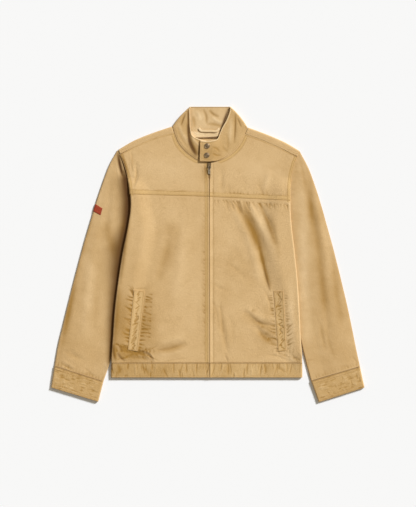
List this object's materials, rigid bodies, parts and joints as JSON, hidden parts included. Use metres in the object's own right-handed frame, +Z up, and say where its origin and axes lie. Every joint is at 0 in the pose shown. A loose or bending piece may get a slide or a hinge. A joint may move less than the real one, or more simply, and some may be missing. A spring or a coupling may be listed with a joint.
{
  "type": "harrington jacket",
  "caption": "Zip-front cotton blouson jacket with a snapped stand collar, welt pockets, hem band and cuffs, laid flat with its front up.",
  "frame": {"origin": "centre of the jacket's bounding box in plan, on the surface it lies on", "axes": "+Z up out of the front, +Y towards the neck, +X towards the wearer's left sleeve"},
  "size_m": [0.8302, 0.7828, 0.0131],
  "materials": {
    "twill": "washed cotton twill, matt",
    "band_twill": "washed cotton twill, doubled and topstitched",
    "label": "plain woven tab",
    "zip_tape": "woven tape",
    "zip_metal": "dark antique metal",
    "snap_metal": "worn antique metal"
  },
  "bodies": {
    "jacket": {"back_panel": "twill", "collar": "band_twill", "cuff_left": "band_twill", "cuff_right": "band_twill", "front_panel_left": "twill", "front_panel_right": "twill", "front_yoke_left": "twill", "front_yoke_right": "twill", "hanger_loop": "band_twill", "hem_band": "band_twill", "neck_facing": "twill", "pocket_welt_left": "twill", "pocket_welt_right": "twill", "shoulder_strip_left": "twill", "shoulder_strip_right": "twill", "sleeve_label": "label", "sleeve_left": "twill", "sleeve_right": "twill", "snap_lower": "snap_metal", "snap_upper": "snap_metal", "zip_chain": "zip_metal", "zip_slider": "zip_metal", "zip_tape_left": "zip_tape", "zip_tape_right": "zip_tape"},
    "zip_pull": {"zip_pull": "zip_metal"}
  },
  "joints": [
    {"name": "zip_pull_hinge", "type": "hinge", "parent": "jacket", "child": "zip_pull", "pos_m": [0.00362, 0.2344, 0.0098], "axis": [-1, 0, 0], "range_deg": [0, 150]}
  ]
}
